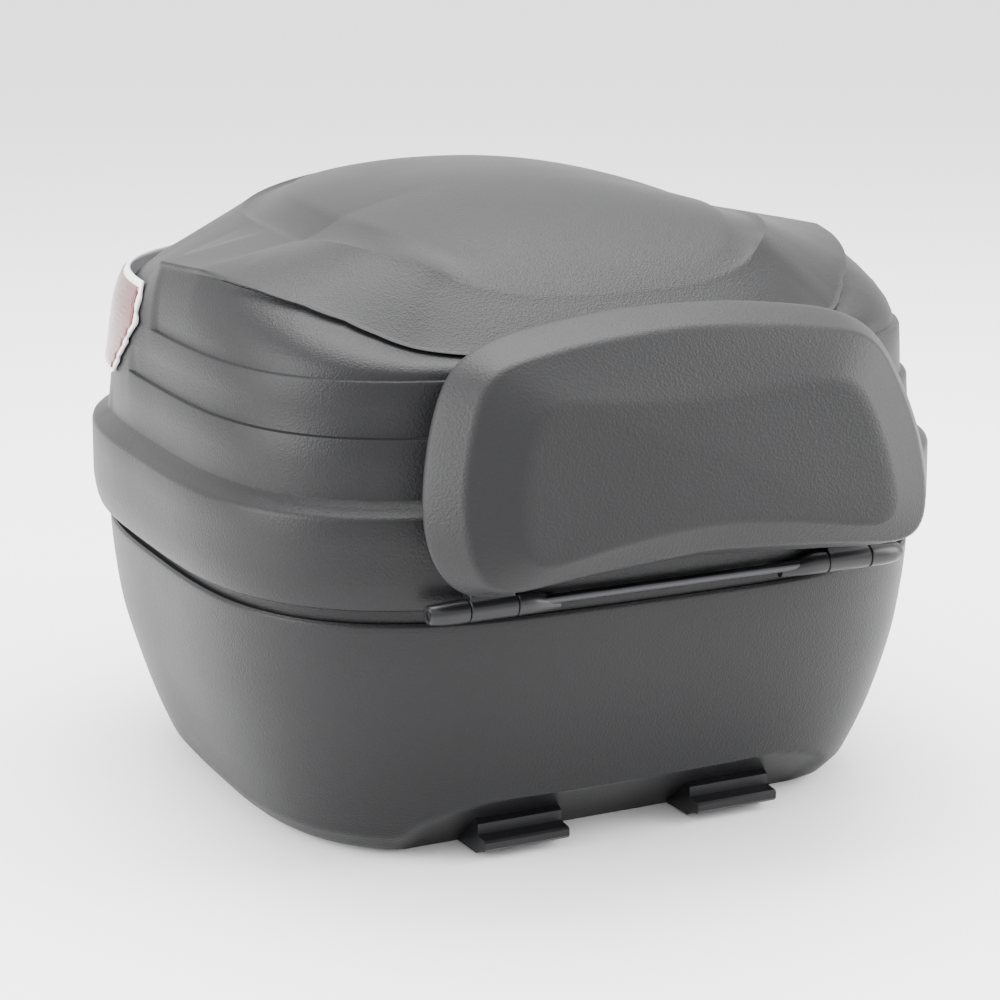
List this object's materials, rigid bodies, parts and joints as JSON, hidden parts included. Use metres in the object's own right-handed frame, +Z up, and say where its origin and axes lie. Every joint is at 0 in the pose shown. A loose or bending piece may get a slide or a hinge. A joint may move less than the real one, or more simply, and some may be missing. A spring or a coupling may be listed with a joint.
{
  "type": "motorcycle top case",
  "caption": "Domed hard case for a motorcycle rack: a tub with a front-hinged lid, latch and lock at the rear, red reflectors and a backrest pad.",
  "frame": {"origin": "centre of the case's underside, midway between the sides and the ends of the lid band", "axes": "+X across the case, +Y to its rear (the lock side), -Y to the rider (hinge, backrest pad, plate hooks), +Z up"},
  "size_m": [0.4065, 0.4337, 0.316],
  "materials": {
    "shell_plastic": "fine embossed grain, matte",
    "hook_plastic": "smooth moulded, satin",
    "pad_foam": "self-skinned foam with a pebbled grain",
    "seal_rubber": "smooth rubber",
    "trim_gloss": "gloss",
    "lens_red": "moulded prism lens, gloss",
    "frame_clear": "clear edge over a white backing, gloss",
    "lock_plastic": "satin moulded",
    "steel": "drawn steel",
    "zinc_screws": "zinc plated",
    "brass_inserts": "machined"
  },
  "bodies": {
    "base": {"base_shell": "shell_plastic", "plate_hook_left": "hook_plastic", "plate_hook_right": "hook_plastic", "hook_screws": "zinc_screws", "lock_housing": "lock_plastic", "housing_screws": "zinc_screws", "latch_pivot_pin": "steel", "latch_spring": "steel", "lever_pivot_pin": "steel", "hinge_rod": "steel"},
    "lid": {"lid_shell": "shell_plastic", "lid_seal": "seal_rubber", "striker": "steel", "striker_screws": "zinc_screws", "rear_garnish": "trim_gloss", "reflector_lens_left": "lens_red", "reflector_lens_right": "lens_red", "reflector_frame_left": "frame_clear", "reflector_frame_right": "frame_clear", "pad_backplate": "hook_plastic", "backrest_pad": "pad_foam", "pad_inserts": "brass_inserts", "pad_washers": "zinc_screws", "pad_screws": "zinc_screws"},
    "button": {"lid_button": "lock_plastic"},
    "latch": {"latch_hook": "steel"},
    "lock": {"lock_cylinder": "steel", "lock_cam": "steel"},
    "lever": {"release_lever": "lock_plastic"},
    "bolt": {"plate_bolt": "lock_plastic"}
  },
  "joints": [
    {"name": "lid_hinge", "type": "hinge", "parent": "base", "child": "lid", "pos_m": [0, -0.1964, 0.1409], "axis": [1, 0, 0], "range_deg": [0, 80]},
    {"name": "button_press", "type": "slide", "parent": "base", "child": "button", "axis": [0, -1, 0], "range_m": [0, 0.004], "stiffness_N_per_m": 400, "springref_m": -0.004},
    {"name": "latch_swing", "type": "hinge", "parent": "base", "child": "latch", "pos_m": [0, 0.176, 0.11], "axis": [-1, 0, 0], "range_deg": [0, 17], "stiffness_Nm_per_rad": 0.02, "springref_deg": -17.19},
    {"name": "lock_turn", "type": "hinge", "parent": "base", "child": "lock", "pos_m": [0, 0.172, 0.07], "axis": [0, 1, 0], "range_deg": [-90, 0]},
    {"name": "lever_pull", "type": "hinge", "parent": "base", "child": "lever", "pos_m": [0, 0.16, 0.044], "axis": [1, 0, 0], "range_deg": [0, 25], "stiffness_Nm_per_rad": 0.05, "springref_deg": -22.92},
    {"name": "bolt_slide", "type": "slide", "parent": "base", "child": "bolt", "axis": [0, 1, 0], "range_m": [0, 0.009]}
  ],
  "couplings": [
    {"joint": "latch_swing", "follows": "button_press", "rad_per_m": 72},
    {"joint": "bolt_slide", "follows": "lever_pull", "m_per_rad": 0.0206}
  ]
}
